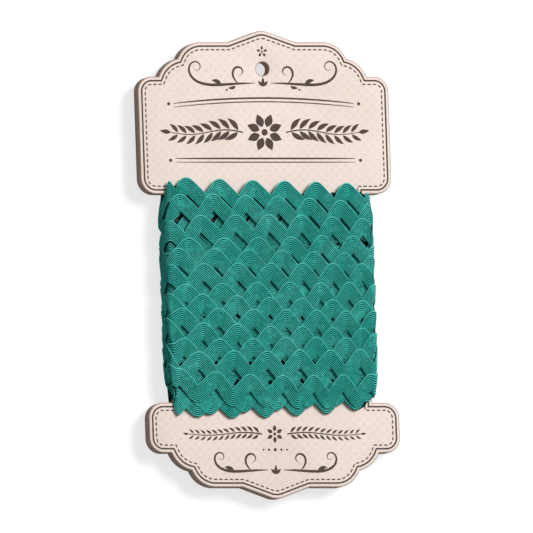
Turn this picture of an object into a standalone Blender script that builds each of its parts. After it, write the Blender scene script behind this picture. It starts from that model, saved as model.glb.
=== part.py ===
# Ric rac braid wound on a die-cut display card, lying on its back.
# The card's head points to +Y and its face looks up. The back of the winding
# lies on z = 0, and the origin is under the middle of the whole.

import math

import bmesh
import bpy

# Sizes below are in millimetres, and objects are built in metres
MM = 0.001

# Board
BOARD_THICKNESS = 6.0
NECK_HALF_WIDTH = 50.4
NECK_HALF_HEIGHT = 50.4
HEAD_HALF_WIDTH = 64.2
HOLE_DIAMETER = 6.5
HOLE_HEIGHT = 110.9  # above the middle of the neck
ARC_STEPS = 8
HOLE_STEPS = 32
WELD_DISTANCE = 0.01

# Board outline: the right half from the head's tip down to the foot's tip.
# fillet rounds the corner itself, and bulge is the radius of the arc from
# this corner to the next one, or 0 where that edge is straight.
OUTLINE_COLUMNS = ("half_width", "height", "fillet", "bulge")
OUTLINE = (
    (0.0, 129.9, 10.0, 0.0),
    (17.2, 123.9, 0.0, 0.0),
    (31.5, 123.9, 0.0, 13.0),
    (43.2, 115.9, 0.0, 14.1),
    (53.2, 107.2, 0.0, 0.0),
    (HEAD_HALF_WIDTH, 107.2, 7.2, 0.0),
    (HEAD_HALF_WIDTH, NECK_HALF_HEIGHT, 7.7, 0.0),
    (NECK_HALF_WIDTH, NECK_HALF_HEIGHT, 0.0, 0.0),
    (NECK_HALF_WIDTH, -NECK_HALF_HEIGHT, 0.0, 0.0),
    (HEAD_HALF_WIDTH, -NECK_HALF_HEIGHT, 7.5, 0.0),
    (HEAD_HALF_WIDTH, -74.7, 7.2, 0.0),
    (53.1, -74.7, 0.0, 14.1),
    (43.0, -83.2, 0.0, 13.0),
    (31.7, -91.3, 0.0, 0.0),
    (17.2, -91.3, 0.0, 0.0),
    (0.0, -97.5, 10.0, 0.0),
)

# Braid
BRAID_BAND = 9.2  # height of the braid's band, straight across at a crest
BRAID_SWING = 6.7  # how far the band swings from crest to valley
BRAID_THICKNESS = 0.8
WAVE_LENGTH = 16.3  # at the middle of the front
WAVE_TIGHTENING = 0.045  # the waves shorten by this much for each mm to the right
WAVES_ROUND = 14  # waves in one turn round the neck
WAVE_SKEW = 0.09  # crests lean to the left by this share of a wave
BEND_SHARPNESS = 1.25  # 1 is a sharp inner bend, 2 a round one

# Winding
CLEARANCE = 0.3  # between the braid and the board
SIDE_STACK = 3.1  # thickness of the wound layers at the neck's edges
FRONT_CROWN = 0.6  # what the middle of the front adds to that
BACK_CROWN = 0.7
BACK_STACK = 3.2  # what the back is pressed down to, flat
TOP_THINNING = 0.3  # share by which the stack thins over the head
LEDGE_STACK = 1.9  # thickness of the older layers that show below the last turn
PIT_DEPTH = 1.5  # depth of the openings between turns
END_CLEARANCE = 0.35  # from the winding to the head and foot, beside the neck
SQUEEZE_WIDTH = 5.0  # width over which turns draw in towards a neck edge

# Rows of the outer layer, from the head down. crest_x is the crest nearest the
# middle, and the heights are those of its crests at the left, middle and right.
ROW_COLUMNS = ("crest_x", "left", "middle", "right")
ROWS = (
    (7.7, 58.5, 56.8, 55.4),
    (4.3, 50.2, 49.6, 46.8),
    (-0.7, 39.4, 40.4, 38.7),
    (-6.6, 29.0, 29.6, 30.3),
    (5.4, 24.3, 22.9, 21.6),
    (-0.5, 16.8, 16.8, 16.8),
    (8.8, 6.6, 7.4, 7.4),
    (-1.6, 2.4, 0.3, -1.0),
    (6.5, -5.0, -5.5, -6.4),
    (-1.6, -11.6, -13.4, -14.8),
    (5.7, -19.3, -19.5, -18.3),
    (-3.8, -25.6, -25.3, -24.8),
    (3.8, -34.2, -37.2, -36.8),
)
# Turns of older layers whose lower edges show below the last row
UNDER_ROWS = (
    (1.6, -41.5, -41.6, -39.5),
    (-8.3, -41.1, -38.4, -35.0),
)
ROW_MEASURED_AT = 45.0  # the left and right heights are this far from the middle

# Mesh of the winding
FRONT_STEPS = 50
BACK_STEPS = 46
SIDE_STEPS = 3
CORNER_STEPS = 4
LINE_GAP = 0.25  # least distance between two lines of the mesh
WINDING_REACH = 58.9  # no line lies further than this from the neck's middle
STEP_FADE = 1.5  # a row that shows less than this has a lower step
PIT_FADE = 3.0  # an opening shorter than this is shallower

MATERIALS = {
    "card": {"color": (0.85, 0.74, 0.68), "roughness": 0.85, "metallic": 0.0},
    "ric_rac_winding": {"color": (0.03, 0.33, 0.26), "roughness": 0.8, "metallic": 0.0},
}


def smooth_step(value):
    t = min(1.0, max(0.0, value))
    return t * t * (3 - 2 * t)


def arc_points(centre, start, turn, steps):
    """Points along an arc about centre from start, through turn radians."""
    dx, dy = start[0] - centre[0], start[1] - centre[1]
    points = []
    for i in range(steps + 1):
        c, s = math.cos(turn * i / steps), math.sin(turn * i / steps)
        points.append((centre[0] + c * dx - s * dy, centre[1] + s * dx + c * dy))
    return points


def fillet_points(before, corner, after, radius):
    """The rounded corner between two straight edges."""
    ways = []
    for end in (before, after):
        length = math.dist(corner, end)
        ways.append(((end[0] - corner[0]) / length, (end[1] - corner[1]) / length))
    (ax, ay), (bx, by) = ways
    between = math.acos(ax * bx + ay * by)
    reach = radius / math.tan(between / 2)
    start = (corner[0] + ax * reach, corner[1] + ay * reach)
    middle = radius / math.sin(between / 2) / math.hypot(ax + bx, ay + by)
    centre = (corner[0] + (ax + bx) * middle, corner[1] + (ay + by) * middle)
    turn = math.copysign(math.pi - between, ay * bx - ax * by)
    return arc_points(centre, start, turn, ARC_STEPS)


def bulge_points(start, end, radius):
    """An outward arc between two points of an outline that runs clockwise."""
    chord = math.dist(start, end)
    depth = math.sqrt(radius**2 - (chord / 2) ** 2)
    right = ((end[1] - start[1]) / chord, (start[0] - end[0]) / chord)
    centre = (
        (start[0] + end[0]) / 2 + right[0] * depth,
        (start[1] + end[1]) / 2 + right[1] * depth,
    )
    return arc_points(centre, start, -2 * math.asin(chord / 2 / radius), ARC_STEPS)


def card_outline():
    """The whole outline of the board, clockwise from the head's tip."""
    corners = [dict(zip(OUTLINE_COLUMNS, row)) for row in OUTLINE]
    places = [(c["half_width"], c["height"]) for c in corners]
    mirrored = [(-x, y) for x, y in places]
    right = []
    for i, corner in enumerate(corners):
        before = places[i - 1] if i else mirrored[1]
        after = places[i + 1] if i + 1 < len(places) else mirrored[-2]
        if corner["fillet"]:
            rounded = fillet_points(before, places[i], after, corner["fillet"])
            right += [p for p in rounded if p[0] > -WELD_DISTANCE]
        elif corner["bulge"]:
            right += bulge_points(places[i], after, corner["bulge"])[:-1]
        else:
            right.append(places[i])
    left = [(-x, y) for x, y in reversed(right) if x > WELD_DISTANCE]
    return right + left


def add_loop(curve, points):
    """Adds a closed loop of straight pieces to a curve."""
    spline = curve.splines.new("POLY")
    spline.points.add(len(points) - 1)
    spline.use_cyclic_u = True
    for point, (x, y) in zip(spline.points, points):
        point.co = (x * MM, y * MM, 0.0, 1.0)


def make_material(name):
    look = MATERIALS[name]
    material = bpy.data.materials.new(name)
    material.use_nodes = True
    shader = material.node_tree.nodes["Principled BSDF"]
    shader.inputs["Base Color"].default_value = (*look["color"], 1.0)
    shader.inputs["Roughness"].default_value = look["roughness"]
    shader.inputs["Metallic"].default_value = look["metallic"]
    return material


def place(obj, parent, collection, location):
    """Puts a finished part in the collection, under the parent."""
    collection.objects.link(obj)
    obj.parent = parent
    obj.location = location
    obj.data.materials.append(make_material(obj.name))


def make_card():
    """The board: one flat outline with its hanging hole."""
    curve = bpy.data.curves.new("card_outline", "CURVE")
    curve.dimensions = "2D"
    curve.fill_mode = "BOTH"
    curve.extrude = BOARD_THICKNESS / 2 * MM
    add_loop(curve, card_outline())
    rim = (HOLE_DIAMETER / 2, HOLE_HEIGHT)
    add_loop(curve, arc_points((0.0, HOLE_HEIGHT), rim, 2 * math.pi, HOLE_STEPS)[:-1])
    guide = bpy.data.objects.new("card_guide", curve)
    bpy.context.scene.collection.objects.link(guide)
    graph = bpy.context.evaluated_depsgraph_get()
    mesh = bpy.data.meshes.new_from_object(guide.evaluated_get(graph))
    bpy.data.objects.remove(guide)
    shape = bmesh.new()
    shape.from_mesh(mesh)
    bmesh.ops.remove_doubles(shape, verts=shape.verts, dist=WELD_DISTANCE * MM)
    bmesh.ops.recalc_face_normals(shape, faces=shape.faces)
    shape.to_mesh(mesh)
    shape.free()
    return bpy.data.objects.new("card", mesh)


def front_waves(x):
    """Waves between the middle of the front and x. They shorten to the right."""
    return -math.log(1 - WAVE_TIGHTENING * x / WAVE_LENGTH) / WAVE_TIGHTENING


def ring_columns():
    """Places round the neck, from the front's left edge on and round the back.

    Each has the point of the board under it, its direction outwards, the waves
    counted up to it and, away from the front, how far it is on its way back.
    """
    w, t = NECK_HALF_WIDTH, BOARD_THICKNESS / 2
    quarter = math.pi / 2
    stops = [(-w + 2 * w * i / FRONT_STEPS, t, quarter) for i in range(FRONT_STEPS + 1)]
    for side in (1, -1):
        facing = 0.0 if side > 0 else -math.pi
        before = [facing + quarter * (1 - j / CORNER_STEPS) for j in range(1, CORNER_STEPS)]
        after = [facing - quarter * j / CORNER_STEPS for j in range(1, CORNER_STEPS)]
        stops += [(side * w, side * t, angle) for angle in before]
        for i in range(SIDE_STEPS + 1):
            stops.append((side * w, side * (t - 2 * t * i / SIDE_STEPS), facing))
        stops += [(side * w, -side * t, angle) for angle in after]
        if side > 0:
            for i in range(BACK_STEPS + 1):
                stops.append((w - 2 * w * i / BACK_STEPS, -t, -quarter))
    middles = []
    for x, z, angle in stops:
        out = CLEARANCE + SIDE_STACK / 2
        middles.append((x + out * math.cos(angle), z + out * math.sin(angle)))
    travelled = [0.0]
    for here, there in zip(middles, middles[1:] + middles[:1]):
        travelled.append(travelled[-1] + math.dist(here, there))
    front_length = travelled[FRONT_STEPS]
    rest_length = travelled[-1] - front_length
    rest_waves = WAVES_ROUND - front_waves(w) + front_waves(-w)
    columns = []
    for i, (x, z, angle) in enumerate(stops):
        back = max(0.0, travelled[i] - front_length) / rest_length
        waves = front_waves(min(x, w)) if back == 0 else front_waves(w) + rest_waves * back
        columns.append({"x": x, "z": z, "angle": angle, "waves": waves, "back": back})
    return columns


def crest_height(row, column, even_height):
    """Height of a row's crests at a column, evened out round the back."""
    share = column["x"] / ROW_MEASURED_AT
    if column["back"] == 0:
        end = row["left"] if share < 0 else row["right"]
        return row["middle"] + (end - row["middle"]) * abs(share)
    reach = NECK_HALF_WIDTH / ROW_MEASURED_AT
    right = row["middle"] + (row["right"] - row["middle"]) * reach
    left = row["middle"] + (row["left"] - row["middle"]) * reach
    along = right + (left - right) * column["back"]
    evening = math.sin(math.pi * column["back"])
    return along + (even_height - along) * evening


def row_edges(row, column, even_height):
    """Upper and lower edge of a row of braid at a column.

    The upper edge has round crests and sharp valleys, the lower edge the
    opposite, because braid is broad on the outside of a bend.
    """
    share = column["waves"] - front_waves(row["crest_x"])
    turn = 2 * math.pi * share
    half = turn / 2 - WAVE_SKEW * math.pi / 2 * (1 - math.cos(turn))
    crest = crest_height(row, column, even_height)
    upper = crest - BRAID_SWING * (1 - abs(math.cos(half)) ** BEND_SHARPNESS)
    lower = crest - BRAID_BAND - BRAID_SWING * abs(math.sin(half)) ** BEND_SHARPNESS
    return upper, lower


def even_heights(rows):
    """Crest heights of rows spaced evenly between the first and the last."""
    top, bottom = rows[0]["middle"], rows[-1]["middle"]
    return [top + (bottom - top) * i / (len(rows) - 1) for i in range(len(rows))]


def stack_height(column, y):
    """Thickness of the wound layers before the relief of the rows."""
    facing = math.sin(column["angle"])
    crown = (FRONT_CROWN if facing > 0 else BACK_CROWN) * abs(facing)
    across = 1 - (column["x"] / NECK_HALF_WIDTH) ** 2
    over_head = (y - NECK_HALF_HEIGHT + BRAID_BAND) / (WINDING_REACH - NECK_HALF_HEIGHT + BRAID_BAND)
    return (SIDE_STACK + crown * across) * (1 - TOP_THINNING * smooth_step(over_head))


def squeeze(column, y):
    """Draws a height in where the braid goes round between head and foot."""
    from_edge = NECK_HALF_WIDTH - abs(column["x"])
    drawn_in = smooth_step(1 - from_edge / SQUEEZE_WIDTH)
    side_reach = NECK_HALF_HEIGHT - END_CLEARANCE
    return y * (1 - drawn_in * (1 - side_reach / WINDING_REACH))


def section(column, rows, under_rows):
    """The winding cut across at a column, as (height along the neck, thickness).

    It goes down the outside: for each row its upper edge, its lower edge and
    the pit below it. Later rows lie over earlier ones. The inside closes it.
    """
    evens = even_heights(rows)
    edges = [row_edges(row, column, even) for row, even in zip(rows, evens)]
    under = [row_edges(row, column, evens[-1])[1] for row in under_rows]
    last_low = edges[-1][1]
    ledge = min(under + [last_low - LINE_GAP])
    lines = [(ledge, 0.0), (ledge, LEDGE_STACK), (last_low - LINE_GAP / 2, LEDGE_STACK)]
    next_top = None
    for upper, lower in reversed(edges):
        gap = 0.0
        if next_top is not None:
            gap = max(0.0, lower - next_top)
            lower = max(lower, next_top + 2 * LINE_GAP)
        upper = max(upper, lower + LINE_GAP)
        showing = smooth_step((upper - lower) / STEP_FADE)
        top = stack_height(column, upper) + BRAID_THICKNESS / 2
        foot = top - BRAID_THICKNESS * showing
        if next_top is not None:
            depth = PIT_DEPTH * smooth_step(gap / PIT_FADE)
            lines.append(((lower + next_top) / 2, foot - depth))
        lines += [(lower, foot), (upper, top)]
        next_top = upper
    lines.append((next_top, 0.0))
    most = BACK_STACK if math.sin(column["angle"]) < 0 else math.inf
    return [(squeeze(column, y), min(out, most)) for y, out in lines]


def make_winding():
    """The wound braid as one ring round the neck, lofted from its sections."""
    rows = [dict(zip(ROW_COLUMNS, row)) for row in ROWS]
    under_rows = [dict(zip(ROW_COLUMNS, row)) for row in UNDER_ROWS]
    shape = bmesh.new()
    rings = []
    for column in ring_columns():
        ring = []
        for y, out in section(column, rows, under_rows):
            reach = CLEARANCE + out
            x = column["x"] + reach * math.cos(column["angle"])
            z = column["z"] + reach * math.sin(column["angle"])
            ring.append(shape.verts.new((x * MM, y * MM, z * MM)))
        rings.append(ring)
    for here, there in zip(rings, rings[1:] + rings[:1]):
        for i in range(len(here)):
            j = (i + 1) % len(here)
            shape.faces.new((here[i], here[j], there[j], there[i]))
    bmesh.ops.recalc_face_normals(shape, faces=shape.faces)
    mesh = bpy.data.meshes.new("ric_rac_winding")
    shape.to_mesh(mesh)
    shape.free()
    return bpy.data.objects.new("ric_rac_winding", mesh)


def clear_scene():
    for obj in list(bpy.data.objects):
        bpy.data.objects.remove(obj)


def main():
    clear_scene()
    collection = bpy.data.collections.new("ric_rac_roll")
    bpy.context.scene.collection.children.link(collection)
    heights = [y for _, y in card_outline()]
    neck_y = -(max(heights) + min(heights)) / 2
    board_z = BACK_STACK + CLEARANCE + BOARD_THICKNESS / 2
    roll = bpy.data.objects.new("roll", None)
    collection.objects.link(roll)
    place(make_card(), roll, collection, (0.0, neck_y * MM, board_z * MM))
    place(make_winding(), roll, collection, (0.0, neck_y * MM, board_z * MM))


main()
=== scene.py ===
import math
import random

import bmesh
import bpy
from mathutils import Matrix, Vector, noise


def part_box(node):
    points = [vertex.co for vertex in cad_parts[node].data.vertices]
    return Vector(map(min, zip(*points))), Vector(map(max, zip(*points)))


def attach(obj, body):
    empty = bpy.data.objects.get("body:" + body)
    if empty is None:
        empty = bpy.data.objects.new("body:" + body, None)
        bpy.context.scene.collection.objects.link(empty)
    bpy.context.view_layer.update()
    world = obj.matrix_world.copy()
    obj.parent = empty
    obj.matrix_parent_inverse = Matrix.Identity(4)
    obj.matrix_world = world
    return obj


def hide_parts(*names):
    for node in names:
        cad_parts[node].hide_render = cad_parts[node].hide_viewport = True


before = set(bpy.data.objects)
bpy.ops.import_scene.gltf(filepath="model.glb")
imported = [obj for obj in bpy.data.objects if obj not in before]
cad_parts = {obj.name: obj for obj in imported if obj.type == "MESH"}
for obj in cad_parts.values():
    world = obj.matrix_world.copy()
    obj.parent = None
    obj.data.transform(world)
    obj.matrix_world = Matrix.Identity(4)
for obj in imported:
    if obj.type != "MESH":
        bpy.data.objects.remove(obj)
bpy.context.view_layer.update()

mm = 0.001  # sizes below are in millimetres, and the scene is in metres
print("packed model loaded:", ", ".join(sorted(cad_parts)))


def smoothStep(value):
    t = min(1.0, max(0.0, value))
    return t * t * (3 - 2 * t)


def mix(a, b, share):
    return a + (b - a) * share


# Value and slope at a share of the way along a smooth join between two ends
def easedBetween(start, startSlope, end, endSlope, length, share):
    t, t2, t3 = share, share ** 2, share ** 3
    value = (2 * t3 - 3 * t2 + 1) * start + (t3 - 2 * t2 + t) * length * startSlope
    value += (3 * t2 - 2 * t3) * end + (t3 - t2) * length * endSlope
    slope = 6 * (t2 - t) * (start - end) / length
    slope += (3 * t2 - 4 * t + 1) * startSlope + (3 * t2 - 2 * t) * endSlope
    return value, slope


def addPiece(name, mesh, replaced=None):
    piece = bpy.data.objects.new(name, mesh)
    bpy.context.scene.collection.objects.link(piece)
    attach(piece, "root")
    if replaced:
        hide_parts(replaced)


def meshFrom(name, points, faces, materials):
    mesh = bpy.data.meshes.new(name)
    mesh.from_pydata([(x * mm, y * mm, z * mm) for x, y, z in points], [], faces)
    mesh.validate()
    for material in materials:
        mesh.materials.append(material)
    return mesh


board = {
    "thickness": 6.0,
    "neckHalfWidth": 50.4,
    "neckHalfHeight": 50.4,
    "holeDiameter": 6.5,
    "holeHeight": 110.9,  # above the middle of the neck
    "arcSteps": 12,
    "holeSteps": 48,
    "onAxis": 0.01,  # points nearer the middle line than this lie on it
    "sharpFrom": 50,  # degrees
    # right half from the head's tip to the foot's tip: half width, height, fillet, bulge
    "outline": (
        (0.0, 129.9, 10.0, 0.0),
        (17.2, 123.9, 0.0, 0.0),
        (31.5, 123.9, 0.0, 13.0),
        (43.2, 115.9, 0.0, 14.1),
        (53.2, 107.2, 0.0, 0.0),
        (64.2, 107.2, 7.2, 0.0),
        (64.2, 50.4, 7.7, 0.0),
        (50.4, 50.4, 0.0, 0.0),
        (50.4, -50.4, 0.0, 0.0),
        (64.2, -50.4, 7.5, 0.0),
        (64.2, -74.7, 7.2, 0.0),
        (53.1, -74.7, 0.0, 14.1),
        (43.0, -83.2, 0.0, 13.0),
        (31.7, -91.3, 0.0, 0.0),
        (17.2, -91.3, 0.0, 0.0),
        (0.0, -97.5, 10.0, 0.0),
    ),
    # down the edge from face to back: how far in, height above the back
    "rim": (
        (0.55, 6.0), (0.26, 5.95), (0.08, 5.8), (0.0, 5.5),
        (0.0, 4.25), (0.14, 4.05), (0.0, 3.85),
        (0.0, 2.2), (0.14, 2.0), (0.0, 1.8),
        (0.0, 0.4), (0.06, 0.2), (0.2, 0.06), (0.42, 0.0),
    ),
}


def arcPoints(centre, start, turn, steps):
    dx, dy = start[0] - centre[0], start[1] - centre[1]
    points = []
    for i in range(steps + 1):
        c, s = math.cos(turn * i / steps), math.sin(turn * i / steps)
        points.append((centre[0] + c * dx - s * dy, centre[1] + s * dx + c * dy))
    return points


def filletPoints(before, corner, after, radius):
    ways = []
    for end in (before, after):
        length = math.dist(corner, end)
        ways.append(((end[0] - corner[0]) / length, (end[1] - corner[1]) / length))
    (ax, ay), (bx, by) = ways
    between = math.acos(ax * bx + ay * by)
    reach = radius / math.tan(between / 2)
    start = (corner[0] + ax * reach, corner[1] + ay * reach)
    middle = radius / math.sin(between / 2) / math.hypot(ax + bx, ay + by)
    centre = (corner[0] + (ax + bx) * middle, corner[1] + (ay + by) * middle)
    turn = math.copysign(math.pi - between, ay * bx - ax * by)
    return arcPoints(centre, start, turn, board["arcSteps"])


def bulgePoints(start, end, radius):
    chord = math.dist(start, end)
    depth = math.sqrt(radius ** 2 - (chord / 2) ** 2)
    right = ((end[1] - start[1]) / chord, (start[0] - end[0]) / chord)
    centre = (
        (start[0] + end[0]) / 2 + right[0] * depth,
        (start[1] + end[1]) / 2 + right[1] * depth,
    )
    return arcPoints(centre, start, -2 * math.asin(chord / 2 / radius), board["arcSteps"])


# The whole outline, clockwise from the head's tip
def boardOutline():
    corners = board["outline"]
    places = [corner[:2] for corner in corners]
    mirrored = [(-x, y) for x, y in places]
    right = []
    for i, (x, y, fillet, bulge) in enumerate(corners):
        before = places[i - 1] if i else mirrored[1]
        after = places[i + 1] if i + 1 < len(places) else mirrored[-2]
        if fillet:
            rounded = filletPoints(before, places[i], after, fillet)
            right += [point for point in rounded if point[0] > -board["onAxis"]]
        elif bulge:
            right += bulgePoints(places[i], after, bulge)[:-1]
        else:
            right.append((x, y))
    return right + [(-x, y) for x, y in reversed(right) if x > board["onAxis"]]


# A clockwise loop moved inwards, with its corners kept sharp
def insetLoop(points, distance):
    moved = []
    for i, (x, y) in enumerate(points):
        ax, ay = x - points[i - 1][0], y - points[i - 1][1]
        after = points[(i + 1) % len(points)]
        bx, by = after[0] - x, after[1] - y
        a, b = math.hypot(ax, ay), math.hypot(bx, by)
        ax, ay, bx, by = ax / a, ay / a, bx / b, by / b
        spread = 1 + ax * bx + ay * by
        moved.append((x + (ay + by) / spread * distance, y - (ax + bx) / spread * distance))
    return moved


outline = boardOutline()
neckY = -(max(y for _, y in outline) + min(y for _, y in outline)) / 2
boardBack, boardFace = (corner.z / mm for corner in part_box("card"))


def makeBoard(materials):
    shape = bmesh.new()
    hole = (board["holeDiameter"] / 2, board["holeHeight"])
    holeRound = arcPoints((0.0, hole[1]), hole, 2 * math.pi, board["holeSteps"])[:-1]
    ends = []
    for loop in (outline, holeRound):
        rings = []
        for inwards, height in board["rim"]:
            ring = []
            for x, y in insetLoop(loop, inwards):
                place = (x * mm, (y + neckY) * mm, (boardBack + height) * mm)
                ring.append(shape.verts.new(place))
            rings.append(ring)
        for upper, lower in zip(rings, rings[1:]):
            for i in range(len(upper)):
                j = (i + 1) % len(upper)
                face = shape.faces.new((upper[i], upper[j], lower[j], lower[i]))
                face.material_index = 1
                face.smooth = True
        ends.append((rings[0], rings[-1]))
    for which, materialIndex in ((0, 0), (1, 2)):
        edges = []
        for pair in ends:
            ring = pair[which]
            edges += [shape.edges.get((ring[i - 1], ring[i])) for i in range(len(ring))]
        filled = bmesh.ops.triangle_fill(shape, edges=edges, use_beauty=True)
        for item in filled["geom"]:
            if isinstance(item, bmesh.types.BMFace):
                item.material_index = materialIndex
    bmesh.ops.recalc_face_normals(shape, faces=shape.faces)
    mesh = bpy.data.meshes.new("displayBoard")
    shape.to_mesh(mesh)
    shape.free()
    for material in materials:
        mesh.materials.append(material)
    mesh.set_sharp_from_angle(angle=math.radians(board["sharpFrom"]))
    addPiece("displayBoard", mesh, "card")


ink = {
    "proud": 0.03,
    "stagger": 0.006,  # so that strokes that cross don't share a surface
    "staggers": 5,
    "sunk": 0.04,
    "lineInset": 2.0,
    "lineWidth": 0.8,
    "dashInset": 3.75,
    "dashWidth": 0.6,
    "dashLength": 1.7,
    "dashPeriod": 2.7,
    "tip": 0.04,  # half width where a stroke runs out
    "mitre": 0.4,  # keeps sharp corners from running out
    "cornerGap": 0.05,  # a dash bends at corners further than this from its ends
    "loopEnd": 0.001,
}


# A stroke is its points and its half widths. This gives it four corners at each point.
def strokeSections(points, halfWidths, closed):
    sections = []
    last = len(points) - 1
    for i, (x, y) in enumerate(points):
        before = points[i - 1] if i or closed else None
        after = points[(i + 1) % len(points)] if i < last or closed else None
        ways = []
        for a, b in ((before, (x, y)), ((x, y), after)):
            if a and b:
                length = math.dist(a, b) or 1.0
                ways.append(((b[0] - a[0]) / length, (b[1] - a[1]) / length))
        if len(ways) == 1:
            ways *= 2
        (ax, ay), (bx, by) = ways
        spread = max(ink["mitre"], 1 + ax * bx + ay * by)
        nx, ny = -(ay + by) / spread, (ax + bx) / spread
        half = max(halfWidths[i], ink["tip"])
        sections.append(((x + nx * half, y + ny * half), (x - nx * half, y - ny * half)))
    return sections


def makePrint(name, strokes, material):
    points, faces = [], []
    for number, (line, halfWidths, closed) in enumerate(strokes):
        start = len(points)
        count = len(line)
        top = boardFace + ink["proud"] + ink["stagger"] * (number % ink["staggers"])
        low = boardFace - ink["sunk"]
        for left, right in strokeSections(line, halfWidths, closed):
            for (x, y), z in ((left, top), (right, top), (right, low), (left, low)):
                points.append((x, y + neckY, z))
        for i in range(count if closed else count - 1):
            a, b = start + 4 * i, start + 4 * ((i + 1) % count)
            for j in range(4):
                k = (j + 1) % 4
                faces.append((a + j, b + j, b + k, a + k))
        if not closed:
            end = start + 4 * (count - 1)
            faces.append((start, start + 1, start + 2, start + 3))
            faces.append((end + 3, end + 2, end + 1, end))
    mesh = meshFrom(name, points, faces, [material])
    shape = bmesh.new()
    shape.from_mesh(mesh)
    bmesh.ops.recalc_face_normals(shape, faces=shape.faces)
    shape.to_mesh(mesh)
    shape.free()
    addPiece(name, mesh)


def borderStrokes():
    line = insetLoop(outline, ink["lineInset"])
    strokes = [(line, [ink["lineWidth"] / 2] * len(line), True)]
    loop = insetLoop(outline, ink["dashInset"])
    loop.append(loop[0])
    lengths = [0.0]
    for a, b in zip(loop, loop[1:]):
        lengths.append(lengths[-1] + math.dist(a, b))
    count = round(lengths[-1] / ink["dashPeriod"])

    def pointAt(distance):
        i = max(j for j, d in enumerate(lengths[:-1]) if d <= distance)
        share = (distance - lengths[i]) / (lengths[i + 1] - lengths[i])
        return mix(loop[i][0], loop[i + 1][0], share), mix(loop[i][1], loop[i + 1][1], share)

    for k in range(count):
        start = lengths[-1] * k / count
        end = min(start + ink["dashLength"], lengths[-1] - ink["loopEnd"])
        gap = ink["cornerGap"]
        dash = [pointAt(start)]
        dash += [loop[i] for i, d in enumerate(lengths) if start + gap < d < end - gap]
        dash.append(pointAt(end))
        strokes.append((dash, [ink["dashWidth"] / 2] * len(dash), False))
    return strokes


ornament = {
    "stem": 0.7,  # width of a vine's stem
    "scroll": 1.35,  # widest part of a scroll
    "leafWidth": 0.38,  # of a leaf's length
    "leafBelly": 0.85,  # below 1, a leaf is widest nearer its stalk
    "scrollBelly": 0.8,
    "petalWidth": 0.42,
    "petalStart": 0.3,  # of a flower's radius
    "eye": 0.17,
    "vineLeafWidth": 0.32,
    "vineLeafTurn": 0.95,  # how far its leaves stand off
    "taper": 0.3,  # how much shorter a vine's last leaf is than its first
    "steps": 12,
    "frieze": {
        "height": 80.2, "start": 11.0, "reach": 48.0, "leaves": 8, "leafLength": 8.0, "rise": 1.3,
    },
    "footVine": {
        "height": -65.6, "start": 6.4, "reach": 44.0, "leaves": 12, "leafLength": 4.2, "rise": 0.8,
    },
    # thin lines over and under the frieze: height at the ends, rise, width
    "rules": ((94.2, 2.6, 0.85), (92.4, 2.6, 0.55), (67.6, 0.0, 0.85), (65.8, 0.0, 0.55)),
    "ruleReach": 46.0,
    "ruleSteps": 24,
    "ruleDots": ((48.6, 94.0, 0.8), (48.6, 66.7, 0.8)),  # across, height, radius
    # scrolls at the head and foot: height, length, and whether a leaf and a dot hang below
    "scrolls": ((104.0, 52.0, True), (-83.0, 42.0, False)),
    "fans": (102.4, -85.0),
    "fanSpread": 0.75,
    "footDots": ((3.2, -73.2, 0.6), (6.0, -73.2, 0.45)),
    "middleDot": (0.0, -73.2, 0.8),
    "headFlower": (119.2, 2.9),  # height, radius
    "friezeFlower": 9.4,
    "footFlower": 4.4,
}


def leaf(x, y, angle, length, width=None, bend=0.0):
    width = width or length * ornament["leafWidth"]
    line, halves = [], []
    steps = ornament["steps"]
    for i in range(steps + 1):
        t = i / steps
        way = angle + bend * t
        line.append((x + math.cos(way) * length * t, y + math.sin(way) * length * t))
        halves.append(width / 2 * math.sin(math.pi * t ** ornament["leafBelly"]))
    return line, halves, False


def dot(x, y, radius):
    steps = ornament["steps"]
    line, halves = [], []
    for i in range(steps + 1):
        away = -math.cos(math.pi * i / steps)
        line.append((x + radius * away, y))
        halves.append(radius * math.sqrt(max(0.0, 1 - away * away)))
    return line, halves, False


# A stroke that curls up late and ever more tightly, swelling in its middle
def scroll(x, y, angle, length, lean, curl, width, late):
    steps, belly = 8 * ornament["steps"], ornament["scrollBelly"]
    line, halves = [(x, y)], [0.0]
    for i in range(steps):
        t = (i + 0.5) / steps
        way = angle + lean * t + curl * t ** late
        x += math.cos(way) * length / steps
        y += math.sin(way) * length / steps
        line.append((x, y))
        halves.append(width / 2 * math.sin(math.pi * ((i + 1) / steps) ** belly) ** belly)
    return line, halves, False


# A flower on the middle line
def flower(y, radius, petals, turned):
    strokes = []
    start = radius * ornament["petalStart"]
    for i in range(petals):
        way = turned + 2 * math.pi * i / petals
        strokes.append(leaf(
            math.cos(way) * start, y + math.sin(way) * start, way,
            radius - start, radius * ornament["petalWidth"],
        ))
    strokes.append(dot(0.0, y, radius * ornament["eye"]))
    return strokes


def bothSides(strokes):
    mirrored = []
    for line, halves, closed in strokes:
        mirrored.append(([(-x, y) for x, y in line], halves, closed))
    return strokes + mirrored


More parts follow.
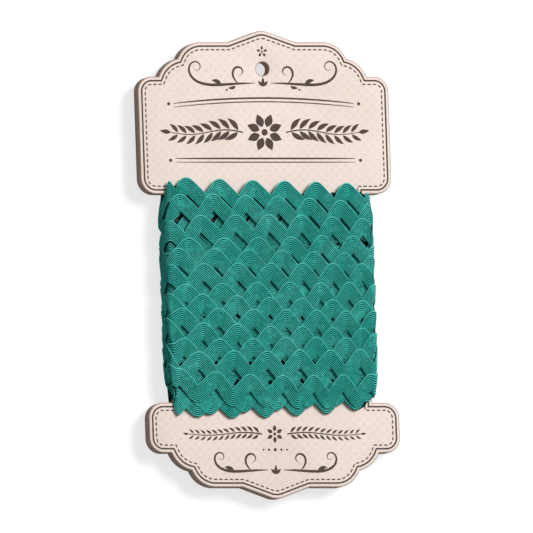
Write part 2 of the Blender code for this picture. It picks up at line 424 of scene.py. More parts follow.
# A vine that runs out in a gentle wave, with a leaf on each side of it at every step
def vine(height, start, reach, leaves, leafLength, rise):
    steps, taper = 8 * ornament["steps"], ornament["taper"]

    def along(t):
        return mix(start, reach, t), height + rise * math.sin(2 * math.pi * t) * (1 - taper * t)

    line = [along(i / steps) for i in range(steps + 1)]
    halves = [ornament["stem"] / 2 * (1 - 0.5 * i / steps) for i in range(steps + 1)]
    strokes = [(line, halves, False)]
    for i in range(leaves):
        t = (i + 0.6) / (leaves + 0.4)
        (x, y), (nextX, nextY) = along(t), along(t + 0.01)
        way = math.atan2(nextY - y, nextX - x)
        size = leafLength * (1 - taper * t)
        away = ornament["stem"] * 0.7
        for side in (1, -1):
            strokes.append(leaf(
                x - math.sin(way) * side * away, y + math.cos(way) * side * away,
                way + side * ornament["vineLeafTurn"], size,
                size * ornament["vineLeafWidth"], -side * 0.3,
            ))
    (x, y), (beforeX, beforeY) = along(1.0), along(0.99)
    strokes.append(leaf(x, y, math.atan2(y - beforeY, x - beforeX), leafLength * 0.7))
    return strokes


# Common leaves, flowers and scrolls in an arrangement of this scene's own
def ornamentStrokes():
    frieze, footVine = ornament["frieze"], ornament["footVine"]
    width = ornament["scroll"]
    half = vine(**frieze)
    steps = ornament["ruleSteps"]
    for height, arch, thin in ornament["rules"]:
        rule, halves = [], []
        for i in range(steps + 1):
            across = ornament["ruleReach"] * i / steps
            rule.append((across, height + arch * (1 - (i / steps) ** 2)))
            halves.append(thin / 2 * (1 - 0.6 * (i / steps) ** 4))
        half.append((rule, halves, False))
    half += [dot(*place) for place in ornament["ruleDots"]]
    for height, long, hanging in ornament["scrolls"]:
        half.append(scroll(3.6, height, 0.0, long, -0.3, 7.9, width, 4.6))
        half.append(scroll(12.5, height - 0.3, 0.75, 17.0, 0.0, 5.6, width * 0.8, 1.8))
        half.append(leaf(21.5, height - 0.4, 0.75, 5.2, bend=-0.4))
        if hanging:
            half.append(leaf(14.0, height - 1.5, -0.6, 4.0, bend=0.4))
            half.append(dot(18.6, height - 3.2, 0.5))
    half += vine(**footVine)
    half += [dot(*place) for place in ornament["footDots"]]
    strokes = bothSides(half)
    strokes += flower(frieze["height"], ornament["friezeFlower"], 8, math.pi / 8)
    strokes += flower(footVine["height"], ornament["footFlower"], 6, math.pi / 6)
    strokes += flower(*ornament["headFlower"], 5, math.pi / 2)
    strokes.append(dot(*ornament["middleDot"]))
    for height in ornament["fans"]:
        for i in range(3):
            fan = math.pi / 2 + (i - 1) * ornament["fanSpread"]
            strokes.append(leaf(0.0, height, fan, 4.6 - 0.9 * abs(i - 1), 1.5))
    return strokes


braid = {
    "band": 8.6,  # its height straight across at a crest
    "swing": 7.5,  # how far it swings from crest to valley
    "ribs": 9,
    "innerRibs": 4,  # on the turns that hardly show
    "ribDepth": 0.38,
    "ribGrowth": 3.0,  # thin braid has flatter ribs: what its thickness is multiplied by
    "columnSteps": (2.4, 1.3, 0.85),  # mm from column to column: inner, under, outer turns
    "uneven": 0.55,  # how far crests stray up and down
    "unevenSwing": 0.09,  # and by what share their swing varies
    "unevenSize": 15.0,
    "heightLane": 2.3,  # lines of the noise that these two follow
    "swingLane": 6.1,
    "edgeDrop": 0.24,
    "edgeShare": 0.7,  # most of its thickness that the edge drops by
    "backInset": 0.5,
    "waveLength": 16.3,  # round the back
    "lean": (0.06, -0.02),  # on the first and last outer turn, how far crests lean to the left
    "zigzag": 0.86,  # 0 winds in round waves, 1 in a sharp zigzag
    "bend": 0.19,  # how sharply its inner bends close
    "mostShear": 0.28,
    "mapUnit": 10.0,  # length of braid to a unit of its map
}

winding = {
    "end": 48.75,  # in turns
    "clearance": 0.3,
    "bendRadius": 3.0,  # of the loop that lengths are measured on, at the neck's edges
    "sideTop": 3.5,
    "frontCrown": 0.6,
    "backTop": 3.18,
    "headThinning": 0.52,
    "footThinning": 0.5,
    "thinsFrom": 9.0,  # how far inside the neck's ends it starts to thin
    "reach": 58.9,  # no braid lies further from the neck's middle
    "reachSpare": 0.3,
    "sideReach": 50.0,  # and beside the neck, none further than this
    "drawnBefore": 0.5,
    "drawnAfter": 3.0,
    "measuredAt": 45.0,  # the rows' left and right heights are this far from the middle
    "pitch": 8.0,
    "leastGap": 0.8,
    "smoothing": 2.5,
    "wobble": 0.12,
    "wobbleSize": 9.0,
    "wobbleApart": 40.0,  # so that front and back wobble differently
    "backWander": 1.1,
    "wanderSteps": (2.31, 4.0, 1.7),  # its noise from row to row, along a row, and its line
    # crest nearest the middle, crest heights at the left, middle and right, wave length
    # at the middle, and how much each mm to the right takes off it
    "outerRows": (
        (8.7, 58.5, 56.8, 55.6, 16.4, 0.024),
        (4.3, 50.2, 49.6, 46.8, 16.4, 0.013),
        (-0.7, 39.4, 40.4, 38.7, 16.8, 0.035),
        (-6.6, 29.0, 29.6, 30.3, 16.8, 0.037),
        (5.4, 24.3, 22.9, 21.6, 16.8, 0.038),
        (-0.5, 16.8, 16.8, 16.8, 16.5, 0.040),
        (8.8, 6.6, 7.4, 7.4, 16.7, 0.062),
        (-1.6, 2.4, 0.3, -1.0, 16.5, 0.030),
        (6.5, -5.0, -5.5, -6.4, 16.6, 0.058),
        (-1.6, -11.6, -13.4, -14.8, 16.5, 0.040),
        (5.7, -19.3, -19.5, -18.3, 16.4, 0.045),
        (-3.8, -25.6, -25.3, -24.8, 16.7, 0.042),
        (3.8, -34.2, -37.2, -36.8, 16.4, 0.052),
    ),
    "underFirst": (
        (2.6, -41.3, -41.4, -38.2, 16.3, 0.045),
        (-8.0, -41.1, -38.4, -34.6, 16.3, 0.045),
    ),
    "underLast": (8.4, 53.2, 51.8, 51.4, 16.4, 0.024),
    "tail": (3.8, -41.0, -41.0, -41.0, 16.3, 0.045),  # where the last turn would go on to
    # rows without places of their own: count, first and last height
    "innerRows": ((12, -37.5, 50.0), (12, 50.5, -37.5)),
    "underRows": (9, -30.5, 41.5),
    "evenSeed": 5,
    "evenSpread": 7.5,  # how far their crests stray sideways
    "evenSlope": 1.2,
    "evenTightening": 0.04,
    # the first outer row is gathered at the front's left edge: row, extra waves, from, over
    "gather": (36, -0.32, -43.0, 9.0),
    # from the card out: first row, last row, share of the stack, step from turn to turn,
    # thickness of the braid, +1 where the rows climb to the head
    "layers": (
        (0, 11, 0.08, 0.08, 0.12, 1),
        (12, 23, 0.17, 0.10, 0.15, -1),
        (24, 35, 0.56, 0.28, 0.34, 1),
        (36, 48, 1.00, 0.62, 0.52, -1),
    ),
}


def evenRows(count, first, last, draw):
    slope, spread = winding["evenSlope"], winding["evenSpread"]
    rows = []
    for i in range(count):
        height = mix(first, last, i / (count - 1))
        left, right = (height + draw.uniform(-slope, slope) for _ in range(2))
        crestX = draw.uniform(-spread, spread)
        length, tight = braid["waveLength"], winding["evenTightening"]
        rows.append((crestX, left, height, right, length, tight))
    return rows


def allRows():
    draw = random.Random(winding["evenSeed"])
    rows = []
    for some in winding["innerRows"]:
        rows += evenRows(*some, draw)
    rows += winding["underFirst"]
    rows += evenRows(*winding["underRows"], draw)
    rows.append(winding["underLast"])
    rows += winding["outerRows"]
    rows.append(winding["tail"])
    return rows


windingRows = allRows()
neckWidth = 2 * board["neckHalfWidth"]
bendArc = winding["bendRadius"] * math.pi / 2
halfRound = neckWidth + board["thickness"] + 2 * bendArc
oneTurn = 2 * halfRound


# A place on the loop, from the front's left edge on: the point of the board's own section
# that it goes round, the way it faces, and how far the braid is drawn in there
def loopPlace(distance):
    distance %= oneTurn
    mirror = distance >= halfRound
    if mirror:
        distance -= halfRound
    x, z, turned = board["neckHalfWidth"], board["thickness"] / 2, 0.0
    past = distance - neckWidth
    if past < 0:
        x, edge = distance - x, -min(distance, -past)
    elif past < bendArc:
        turned = past / bendArc
        edge = turned * 2 * winding["drawnAfter"]
    elif past < bendArc + board["thickness"]:
        turned, edge = 1.0, 2 * winding["drawnAfter"]
        z -= past - bendArc
    else:
        turned = 1 + (past - bendArc - board["thickness"]) / bendArc
        z, edge = -z, (2 - turned) * 2 * winding["drawnAfter"]
    angle = math.pi / 2 * (1 - turned)
    if mirror:
        x, z, angle = -x, -z, angle - math.pi
    before = winding["drawnBefore"]
    drawn = smoothStep((edge + before) / (before + 2 * winding["drawnAfter"]))
    return x, z, angle, drawn


# Waves of a row between its middle crest and x, and how many there are to a mm at x
def frontWaves(row, x):
    crestX, _, _, _, length, tight = row
    waves = math.log((length - tight * crestX) / (length - tight * x)) / tight
    return waves, 1 / (length - tight * x)


def frontHeight(row, x):
    _, left, middle, right, _, _ = row
    q = x / winding["measuredAt"]
    lean, bow = (right - left) / 2, (left + right) / 2 - middle
    return middle + lean * q + bow * q * q, (lean + 2 * bow * q) / winding["measuredAt"]


def gathered(index, x):
    row, extra, start, over = winding["gather"]
    return extra * smoothStep((start - x) / over) if index == row else 0.0


# Whole waves wound before each row, so that every join round the back has its natural count
def countWaves():
    counts = [0.0]
    side = board["neckHalfWidth"]
    natural = (oneTurn - neckWidth) / braid["waveLength"]
    for index, (row, following) in enumerate(zip(windingRows, windingRows[1:])):
        end = frontWaves(row, side)[0] + counts[-1]
        start = frontWaves(following, -side)[0] + gathered(index + 1, -side)
        counts.append(round(end + natural - start))
    return counts


wavesBefore = countWaves()


def unevenness(turn, lane):
    return noise.noise(Vector((turn * oneTurn / braid["unevenSize"], lane, 0.37)))


# Crest height and waves counted at a distance along a row and on round to the next one
def pathAt(index, distance):
    row, following = windingRows[index], windingRows[index + 1]
    side = board["neckHalfWidth"]
    stray = braid["uneven"] * unevenness(index + distance / oneTurn, braid["heightLane"])
    if distance <= neckWidth:
        x = distance - side
        waves, slope = frontWaves(row, x)
        height = frontHeight(row, x)[0] + stray
        return height, wavesBefore[index] + waves + gathered(index, x), slope
    length = oneTurn - neckWidth
    share = (distance - neckWidth) / length
    start, startSlope = frontWaves(row, side)
    end, endSlope = frontWaves(following, -side)
    start += wavesBefore[index]
    end += wavesBefore[index + 1] + gathered(index + 1, -side)
    turned, slope = easedBetween(start, startSlope, end, endSlope, length, share)
    rightEnd, leftEnd = frontHeight(row, side), frontHeight(following, -side)
    height, _ = easedBetween(*rightEnd, *leftEnd, length, share)
    fromRow, alongRow, line = winding["wanderSteps"]
    wander = noise.noise(Vector((index * fromRow, share * alongRow, line)))
    height += stray + wander * winding["backWander"] * math.sin(math.pi * share) ** 2
    return min(height, winding["reach"] - winding["reachSpare"]), turned, slope


def waveHeight(waves, turn):
    first, last = winding["layers"][-1][:2]
    leftward = mix(*braid["lean"], min(1.0, max(0.0, (turn - first) / (last - first))))
    angle = 2 * math.pi * waves
    angle -= leftward * math.pi * (1 - math.cos(angle))
    sharp = braid["zigzag"]
    half = braid["swing"] / 2 * (1 + braid["unevenSwing"] * unevenness(turn, braid["swingLane"]))
    return half * math.asin(sharp * math.cos(angle)) / math.asin(sharp)


# How strongly the middle line bends at its crests
def crestBend(slope):
    sharp = braid["zigzag"]
    bend = sharp / math.sqrt(1 - sharp ** 2) / math.asin(sharp)
    return braid["swing"] / 2 * bend * (2 * math.pi * slope) ** 2


# Outside of the wound stack over a place, before the turns' own steps
def stackTop(x, angle, y):
    facing = math.sin(angle)
    if facing < 0:
        top = mix(winding["sideTop"], winding["backTop"], smoothStep(-facing * 1.5))
    else:
        across = 1 - (x / board["neckHalfWidth"]) ** 2
        top = winding["sideTop"] + winding["frontCrown"] * facing * across
    inside, before = board["neckHalfHeight"], winding["thinsFrom"]
    overHead, overFoot = (
        smoothStep((along - inside + before) / (winding["reach"] - inside + before))
        for along in (y, -y)
    )
    return top * (1 - winding["headThinning"] * overHead - winding["footThinning"] * overFoot)


# Turn number that has its crest at a height, for one layer at one place of the loop.
# Turns then lie one step apart wherever they cross, however unevenly they are spaced.
def turnAt(knots, y):
    if y <= knots[0][0]:
        return knots[0][1] + (y - knots[0][0]) * knots[-1][2] / winding["pitch"]
    if y >= knots[-1][0]:
        return knots[-1][1] + (y - knots[-1][0]) * knots[-1][2] / winding["pitch"]
    for low, high in zip(knots, knots[1:]):
        if y <= high[0]:
            return mix(low[1], high[1], (y - low[0]) / (high[0] - low[0]))


def layerKnots(layer, distance):
    first, last, _, _, _, climb = layer
    share = distance / oneTurn
    knots = [(pathAt(j, distance)[0], j + share, climb) for j in range(first, last + 1)]
    knots.sort()
    spaced = [knots[0]]
    for knot in knots[1:]:
        if knot[0] > spaced[-1][0] + winding["leastGap"]:
            spaced.append(knot)
    return spaced


# How far out from the board a turn lies at a place
def turnOut(layer, knots, turn, top, y):
    _, _, level, step, _, climb = layer
    spread = winding["smoothing"]
    number = (turnAt(knots, y - spread) + 2 * turnAt(knots, y) + turnAt(knots, y + spread)) / 4
    lift = 0.0 if climb < 0 else step * (braid["band"] + braid["swing"]) / winding["pitch"]
    fullTop = winding["sideTop"] + winding["frontCrown"]
    return level * top + (step * (turn - number) - lift) * top / fullTop


# Points across the braid, as offset from its middle line and height, outside first
def braidSection(ribs, ribDepth, thickness):
    half = braid["band"] / 2
    section = []
    for i in range(2 * ribs + 1):
        height = -ribDepth if i % 2 == 0 else 0.0
        if i in (0, 2 * ribs):
            height = -min(braid["edgeDrop"] + ribDepth / 2, thickness * braid["edgeShare"])
        section.append((half - i * half / ribs, height))
    inner = half - braid["backInset"]
    for offset in (-inner, -half / 3, half / 3, inner):
        section.append((offset, -thickness))
    return section


def layerOf(index):
    return next(layer for layer in winding["layers"] if layer[0] <= index <= layer[1])


# One stretch of the path as a closed ribbon, from a turn number to another
def makeTurns(name, start, end, ribs, columnStep, material, replaced=None):
    points, faces, flats = [], [], []
    columns = round((end - start) * oneTurn / columnStep)
    rows = len(braidSection(ribs, 0.0, 1.0))
    crestAbove = (braid["swing"] + braid["band"]) / 2
    nudge = 0.02
    reach = winding["sideReach"] / winding["reach"]
    for column in range(columns + 1):
        turn = mix(start, end, column / columns)
        index = min(int(turn), len(windingRows) - 2)
        distance = (turn - index) * oneTurn
        crest, waves, slope = pathAt(index, distance)
        middle = crest - crestAbove + waveHeight(waves, turn)
        rise = waveHeight(waves + nudge * slope, turn) - waveHeight(waves - nudge * slope, turn)
        rise /= 2 * nudge
        shear = min(braid["mostShear"], braid["bend"] / crestBend(slope)) * rise
        layer = layerOf(index)
        knots = layerKnots(layer, distance)
        share = (distance - neckWidth) / (oneTurn - neckWidth)
        crossing = None
        if index == layer[1] and share > 0 and layer is not winding["layers"][-1]:
            crossing = layerOf(index + 1)
            crossingKnots = layerKnots(crossing, 0.0)
            moved = smoothStep(share)
        thickness = layer[4] if crossing is None else mix(layer[4], crossing[4], moved)
        ribDepth = braid["ribDepth"] * min(1.0, braid["ribGrowth"] * thickness)
        for offset, height in braidSection(ribs, ribDepth, thickness):
            y = middle + offset
            x, z, angle, drawn = loopPlace(distance - shear * offset)
            top = stackTop(x, angle, y)
            out = turnOut(layer, knots, turn, top, y)
            if crossing:
                out = mix(out, turnOut(crossing, crossingKnots, turn, top, y), moved)
            apart = winding["wobbleApart"] * math.sin(angle)
            ripple = Vector((x, y, z + apart)) / winding["wobbleSize"]
            out += winding["wobble"] * noise.noise(ripple) * layer[2]
            if math.sin(angle) < 0:
                out = min(out, winding["backTop"])
            out = max(out + height, 0.0) + winding["clearance"]
            points.append((
                x + out * math.cos(angle),
                neckY + y * mix(1.0, reach, drawn),
                boardBack + board["thickness"] / 2 + z + out * math.sin(angle),
            ))
            flats.append((turn * oneTurn / braid["mapUnit"], 0.5 - offset / braid["band"]))
    for column in range(columns):
        a = column * rows
        for i in range(rows):
            j = (i + 1) % rows
            faces.append((a + i, a + j, a + rows + j, a + rows + i))
    faces.append(tuple(reversed(range(rows))))
    faces.append(tuple(range(columns * rows, (columns + 1) * rows)))
    mesh = meshFrom(name, points, faces, [material])
    for face in mesh.polygons:
        face.use_smooth = True
    for edge in mesh.edges:  # ribs are smooth along their length and crisp across it
        edge.use_edge_sharp = abs(edge.vertices[0] - edge.vertices[1]) == rows
    flat = mesh.uv_layers.new(name="braidFlat")
    for loop in mesh.loops:
        flat.data[loop.index].uv = flats[loop.vertex_index]
    print(name, "has", len(mesh.polygons), "faces")
    addPiece(name, mesh, replaced)


def newMaterial(name, roughness, specular=0.3, sheen=0.0):
    material = bpy.data.materials.new(name)
    material.use_nodes = True
    shader = material.node_tree.nodes["Principled BSDF"]
    shader.inputs["Roughness"].default_value = roughness
    shader.inputs["Specular IOR Level"].default_value = specular
    shader.inputs["Sheen Weight"].default_value = sheen
    return material, material.node_tree, shader


def addNode(tree, kind, operation=None, **values):
    node = tree.nodes.new(kind)
    if operation:
        node.operation = operation
    for name, value in values.items():
        setattr(node, name, value)
    return node


# A Math node with numbers or sockets as its inputs; gives its output
def calculate(tree, operation, *inputs, clamp=False):
    node = addNode(tree, "ShaderNodeMath", operation, use_clamp=clamp)
    for socket, value in zip(node.inputs, inputs):
        if isinstance(value, (int, float)):
            socket.default_value = value
        else:
            tree.links.new(value, socket)
    return node.outputs[0]


# How much more one value is than another, as a mask from 0 to 1
def maskOver(tree, more, less, gain):
    return calculate(tree, "MULTIPLY", calculate(tree, "SUBTRACT", more, less), gain, clamp=True)


def mixColours(tree, share, first, second):
    node = addNode(tree, "ShaderNodeMix", data_type="RGBA")
    sockets = node.inputs[0], node.inputs[6], node.inputs[7]
    for socket, value in zip(sockets, (share, first, second)):
        if isinstance(value, bpy.types.NodeSocket):
            tree.links.new(value, socket)
        elif isinstance(value, tuple):
            socket.default_value = (*value, 1.0)
        else:
            socket.default_value = value
    return node.outputs[2]


# Fine fibres, used by the board, its cut edge, the ink and the braid
def fibreGroup():
    group = bpy.data.node_groups.new("fibres", "ShaderNodeTree")
    for way, names in (("INPUT", ("Size", "Patch Size")), ("OUTPUT", ("Fibre", "Patch"))):
        for name in names:
            group.interface.new_socket(name=name, in_out=way, socket_type="NodeSocketFloat")
    ends = addNode(group, "NodeGroupInput"), addNode(group, "NodeGroupOutput")
    place = addNode(group, "ShaderNodeTexCoord").outputs["Object"]
    for i, (name, detail) in enumerate((("Fibre", 4.0), ("Patch", 2.0))):
        texture = addNode(group, "ShaderNodeTexNoise")
        texture.inputs["Detail"].default_value = detail
        texture.inputs["Roughness"].default_value = 0.6
        group.links.new(place, texture.inputs["Vector"])
        scale = calculate(group, "DIVIDE", 1 / mm, ends[0].outputs[i])
        group.links.new(scale, texture.inputs["Scale"])
        group.links.new(texture.outputs["Fac"], ends[1].inputs[name])
    return group


def placeFibres(tree, group, size, patchSize):
    node = addNode(tree, "ShaderNodeGroup", node_tree=group)
    node.inputs["Size"].default_value = size
    node.inputs["Patch Size"].default_value = patchSize
    return node.outputs["Fibre"], node.outputs["Patch"]


def addBump(tree, shader, height, strength, distance):
    bump = addNode(tree, "ShaderNodeBump")
    bump.inputs["Strength"].default_value = strength
    bump.inputs["Distance"].default_value = distance * mm
    tree.links.new(height, bump.inputs["Height"])
    tree.links.new(bump.outputs["Normal"], shader.inputs["Normal"])


finishes = {
    "braid": {
        # painted shade: the near-black colour of the rib grooves and the lower edge
        "grooveShade": (0.000, 0.010, 0.008),
        "ridge": (0.040, 0.600, 0.510),
        "worn": (0.180, 0.760, 0.690),
        "shaded": 0.12,  # painted shade: how dark the innermost turns are coloured beside the others
        "grooveFrom": 0.66,  # of half a rib's width
        "stitchLength": 1.1,
        "upperLight": 0.45,  # painted highlight: how much lighter its upper edge is coloured, as if it caught the light
        "lowerShade": 0.85,  # and how much its lower edge is coloured dark, as painted shade
    },
    "board": {
        "face": (0.860, 0.730, 0.662),
        "back": (0.600, 0.510, 0.450),
        "shade": (0.600, 0.480, 0.425),
        "dots": (0.650, 0.510, 0.450),
        "dotPitch": 3.4,
        "dotRadius": 0.35,  # of the pitch
        "dotSlant": 45,  # degrees
        "underTurns": 47.0,  # half the height of the neck painted in shade
        "edge": (0.560, 0.420, 0.350),
        "edgeLight": (0.700, 0.580, 0.510),
        "edgeDarkAndShade": (0.110, 0.080, 0.070),
        "edgeLayers": 40.0,
    },
    "ink": {"full": (0.055, 0.031, 0.024), "worn": (0.120, 0.075, 0.058)},
    "floor": {"base": (0.42, 0.42, 0.42), "glow": 0.72},
}


def braidMaterial(name, fibres, brightness):
    look = finishes["braid"]
    grooveShade, ridge, worn = (
        tuple(brightness * part for part in look[key]) for key in ("grooveShade", "ridge", "worn")
    )
    material, tree, shader = newMaterial(name, 0.8, 0.15 * brightness, 0.1 * brightness)
    shader.inputs["Sheen Roughness"].default_value = 0.5
    shader.inputs["Sheen Tint"].default_value = (*ridge, 1.0)
    flat = addNode(tree, "ShaderNodeUVMap", uv_map="braidFlat").outputs["UV"]
    split = addNode(tree, "ShaderNodeSeparateXYZ")
    tree.links.new(flat, split.inputs[0])
    along, across = split.outputs["X"], split.outputs["Y"]
    ribs = calculate(tree, "MULTIPLY", across, braid["ribs"])
    inRib = calculate(tree, "SUBTRACT", calculate(tree, "FRACT", ribs), 0.5)
    away = calculate(tree, "MULTIPLY", calculate(tree, "ABSOLUTE", inRib), 2.0)
    high = maskOver(tree, look["grooveFrom"], away, 3.0)
    # the yarns of neighbouring ribs slant opposite ways
    pair = calculate(tree, "FRACT", calculate(tree, "MULTIPLY", ribs, 0.5))
    side = calculate(tree, "SUBTRACT", calculate(tree, "GREATER_THAN", pair, 0.5), 0.5)
    slanted = calculate(tree, "MULTIPLY", calculate(tree, "MULTIPLY", side, 2.0), inRib)
    steps = calculate(tree, "MULTIPLY", along, braid["mapUnit"] / look["stitchLength"])
    steps = calculate(tree, "ADD", steps, slanted)
    stitch = calculate(tree, "SINE", calculate(tree, "MULTIPLY", steps, 2 * math.pi))
    fibre, patch = placeFibres(tree, fibres, 0.5, 14.0)
    soft, blotch = placeFibres(tree, fibres, 1.4, 4.5)
    # here and there the ribs are pressed flat and show less
    pressed = maskOver(tree, blotch, 0.5, 2.2)
    high = calculate(tree, "ADD", high, calculate(tree, "MULTIPLY", pressed, 0.6), clamp=True)
    dim = maskOver(tree, 0.55, soft, 1.6)
    high = calculate(tree, "SUBTRACT", high, calculate(tree, "MULTIPLY", dim, 0.5), clamp=True)
    # painted shade: the grooves between the ribs are coloured near black
    tone = mixColours(tree, high, grooveShade, ridge)
    faded = maskOver(tree, patch, 0.4, 1.2)
    tone = mixColours(tree, calculate(tree, "MULTIPLY", faded, high), tone, worn)
    lint = maskOver(tree, fibre, 0.5, 1.5)
    tone = mixColours(tree, calculate(tree, "MULTIPLY", lint, high), tone, worn)
    # painted highlight along the upper edge, in the pale worn colour
    upper = maskOver(tree, 0.06, across, 25.0)
    tone = mixColours(tree, calculate(tree, "MULTIPLY", upper, look["upperLight"]), tone, worn)
    # painted shade along the lower edge, in the groove shade colour
    lower = maskOver(tree, across, 0.95, 30.0)
    tone = mixColours(tree, calculate(tree, "MULTIPLY", lower, look["lowerShade"]), tone, grooveShade)
    tree.links.new(tone, shader.inputs["Base Color"])
    fuzz = calculate(tree, "MULTIPLY", fibre, 0.4)
    relief = calculate(tree, "ADD", calculate(tree, "MULTIPLY", stitch, 0.3), fuzz)
    addBump(tree, shader, relief, 0.5, 0.12)
    return material


def boardMaterial(name, fibres, base, dots=None):
    look = finishes["board"]
    material, tree, shader = newMaterial(name, 0.72, 0.25)
    fibre, patch = placeFibres(tree, fibres, 0.8, 26.0)
    place = addNode(tree, "ShaderNodeTexCoord").outputs["Object"]
    tone = base
    if dots:
        turn = addNode(tree, "ShaderNodeMapping")
        turn.inputs["Rotation"].default_value = (0, 0, math.radians(look["dotSlant"]))
        turn.inputs["Scale"].default_value = (1 / (look["dotPitch"] * mm),) * 3
        tree.links.new(place, turn.inputs["Vector"])
        split = addNode(tree, "ShaderNodeSeparateXYZ")
        tree.links.new(turn.outputs[0], split.inputs[0])
        offsets = []
        for axis in ("X", "Y"):
            cell = calculate(tree, "SUBTRACT", calculate(tree, "FRACT", split.outputs[axis]), 0.5)
            offsets.append(calculate(tree, "MULTIPLY", cell, cell))
        away = calculate(tree, "SQRT", calculate(tree, "ADD", *offsets))
        spot = maskOver(tree, look["dotRadius"], away, 4.0)
        printed = maskOver(tree, fibre, 0.2, 0.9)
        tone = mixColours(tree, calculate(tree, "MULTIPLY", spot, printed), base, dots)
    tone = mixColours(tree, maskOver(tree, patch, 0.45, 0.7), tone, look["shade"])
    tone = mixColours(tree, maskOver(tree, fibre, 0.5, 1.3), tone, look["shade"])
    # painted shade: the neck under the turns is coloured near black, as if in deep shade
    split = addNode(tree, "ShaderNodeSeparateXYZ")
    tree.links.new(place, split.inputs[0])
    beside = calculate(tree, "SUBTRACT", split.outputs["Y"], neckY * mm)
    beside = calculate(tree, "ABSOLUTE", beside)
    shadeUnderTurns = maskOver(tree, look["underTurns"] * mm, beside, 1 / mm)
    tone = mixColours(tree, shadeUnderTurns, tone, look["edgeDarkAndShade"])
    tree.links.new(tone, shader.inputs["Base Color"])
    addBump(tree, shader, fibre, 0.25, 0.05)
    return material


def boardEdgeMaterial(fibres):
    look = finishes["board"]
    material, tree, shader = newMaterial("boardEdge", 0.9, 0.15)
    fibre, patch = placeFibres(tree, fibres, 0.6, 9.0)
    place = addNode(tree, "ShaderNodeTexCoord").outputs["Object"]
    split = addNode(tree, "ShaderNodeSeparateXYZ")
    tree.links.new(place, split.inputs[0])
    height = calculate(tree, "SUBTRACT", split.outputs["Z"], boardBack * mm)
    height = calculate(tree, "DIVIDE", height, board["thickness"] * mm)
    layers = calculate(tree, "MULTIPLY", height, look["edgeLayers"])
    layers = calculate(tree, "ADD", layers, calculate(tree, "MULTIPLY", patch, 6.0))
    layers = calculate(tree, "SINE", layers)
    pale = calculate(tree, "MULTIPLY", calculate(tree, "ADD", layers, 1.0), 0.3)
    tone = mixColours(tree, pale, look["edge"], look["edgeLight"])
    low = calculate(tree, "SUBTRACT", 1.0, calculate(tree, "MULTIPLY", height, 4.5), clamp=True)
    tone = mixColours(tree, low, tone, look["edgeDarkAndShade"])
    tone = mixColours(tree, calculate(tree, "MULTIPLY", fibre, 0.35), tone, look["edgeDarkAndShade"])
    tree.links.new(tone, shader.inputs["Base Color"])
    addBump(tree, shader, fibre, 0.6, 0.15)
    return material


def inkMaterial(fibres):
    look = finishes["ink"]
    material, tree, shader = newMaterial("brownInk", 0.65, 0.3)
    fibre = placeFibres(tree, fibres, 0.5, 6.0)[0]
    tone = mixColours(tree, maskOver(tree, fibre, 0.42, 2.5), look["full"], look["worn"])
    tree.links.new(tone, shader.inputs["Base Color"])
    addBump(tree, shader, fibre, 0.2, 0.03)
    return material


def floorMaterial():
    material, tree, shader = newMaterial("paleFloor", 0.9, 0.1)
    shader.inputs["Base Color"].default_value = (*finishes["floor"]["base"], 1.0)
    shader.inputs["Emission Color"].default_value = (1.0, 1.0, 1.0, 1.0)
    seen = addNode(tree, "ShaderNodeLightPath").outputs["Is Camera Ray"]  # it lights nothing
    glow = calculate(tree, "MULTIPLY", seen, finishes["floor"]["glow"])
    tree.links.new(glow, shader.inputs["Emission Strength"])
    return material


room = {
    "floorSize": 3.0,
    "floorDrop": 0.0002,
    "worldStrength": 0.14,
    # the photograph is a parallel view: what is right and up in it, in the part's own axes
    "right": (0.940, -0.0334, 0.3395),
    "up": (0.0, 0.9952, 0.098),
    "frameWidth": 256.4,
    "besideNeck": (-1.78, 15.29),  # middle of the frame from the neck's middle, across and up
    "cameraDistance": 0.8,
    "keyPower": 333.0,
    "keySize": 2.7,
    "keyFrom": (2.76, 2.28, 3.72),
    "fillPower": 1.0,
    "fillSize": 1.2,
    "fillFrom": (-0.5, -0.2, 0.9),
}


def makeRoom():
    half = room["floorSize"] / 2
    mesh = bpy.data.meshes.new("floor")
    corners = [(-half, -half, 0), (half, -half, 0), (half, half, 0), (-half, half, 0)]
    mesh.from_pydata(corners, [], [(0, 1, 2, 3)])
    mesh.materials.append(floorMaterial())
    floor = bpy.data.objects.new("floor", mesh)
    floor.location.z = -room["floorDrop"]
    bpy.context.scene.collection.objects.link(floor)
    world = bpy.data.worlds.new("paleRoom")
    world.use_nodes = True
    tree = world.node_tree
    sky = tree.nodes["Background"]
    sky.inputs["Color"].default_value = (1.0, 1.0, 1.0, 1.0)
    # white where it shows, and dimmer for the light that it gives
    seen = addNode(tree, "ShaderNodeLightPath").outputs["Is Camera Ray"]
    strength = calculate(tree, "MULTIPLY", seen, 1 - room["worldStrength"])
    strength = calculate(tree, "ADD", strength, room["worldStrength"])
    tree.links.new(strength, sky.inputs["Strength"])
    bpy.context.scene.world = world


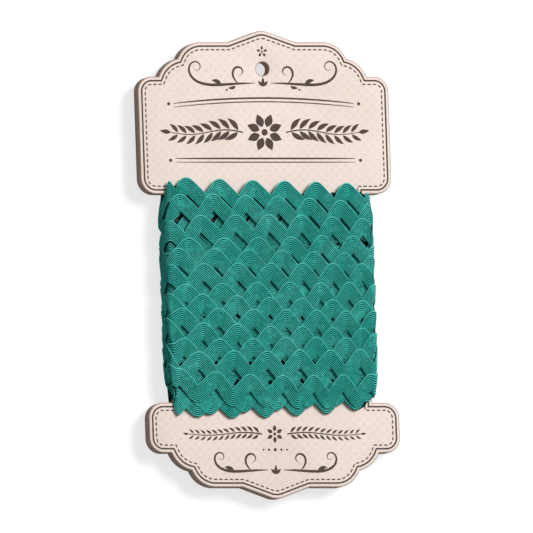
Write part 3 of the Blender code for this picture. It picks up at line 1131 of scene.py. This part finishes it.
def addLight(name, power, size, place):
    light = bpy.data.lights.new(name, "AREA")
    light.energy, light.size = power, size
    lamp = bpy.data.objects.new(name, light)
    lamp.location = place
    lamp.rotation_euler = (-Vector(place)).to_track_quat("-Z", "Y").to_euler()
    bpy.context.scene.collection.objects.link(lamp)


def addCamera():
    right, up = Vector(room["right"]).normalized(), Vector(room["up"])
    toward = right.cross(up).normalized()
    up = toward.cross(right)
    across, above = room["besideNeck"]
    neck = Vector((0, neckY, boardFace))
    view = bpy.data.cameras.new("photoView")
    view.type = "ORTHO"
    view.ortho_scale = room["frameWidth"] * mm
    camera = bpy.data.objects.new("photoView", view)
    camera.matrix_world = Matrix((
        (right.x, up.x, toward.x, 0), (right.y, up.y, toward.y, 0),
        (right.z, up.z, toward.z, 0), (0, 0, 0, 1),
    ))
    camera.location = (neck + right * across + up * above) * mm
    camera.location += toward * room["cameraDistance"]
    bpy.context.scene.collection.objects.link(camera)
    bpy.context.scene.camera = camera


makeRoom()
addLight("key", room["keyPower"], room["keySize"], room["keyFrom"])
addLight("fill", room["fillPower"], room["fillSize"], room["fillFrom"])
addCamera()
bpy.context.scene.view_settings.view_transform = "Standard"
print("room, lights and camera set")

fibres = fibreGroup()
look = finishes["board"]
faceBoard = boardMaterial("boardFace", fibres, look["face"], look["dots"])
backBoard = boardMaterial("boardBack", fibres, look["back"])
makeBoard([faceBoard, boardEdgeMaterial(fibres), backBoard])
brownInk = inkMaterial(fibres)
makePrint("printedBorder", borderStrokes(), brownInk)
makePrint("printedOrnament", ornamentStrokes(), brownInk)
print("board and print made")

tealBraid = braidMaterial("tealBraid", fibres, 1.0)
# painted shade: a dark copy of the braid's colours for the innermost turns
shadedBraid = braidMaterial("shadedBraid", fibres, finishes["braid"]["shaded"])
underStart = float(winding["layers"][2][0])
outerStart = winding["layers"][2][1] + neckWidth / oneTurn  # behind, after the last under row
ribs, end = braid["ribs"], winding["end"]
innerStep, underStep, outerStep = braid["columnSteps"]
makeTurns("innerTurns", 0.0, underStart, braid["innerRibs"], innerStep, shadedBraid)
makeTurns("underTurns", underStart, outerStart, ribs, underStep, tealBraid)
makeTurns("outerTurns", outerStart, end, ribs, outerStep, tealBraid, "ric_rac_winding")
print("braid wound:", round(end * oneTurn * mm, 1), "m")
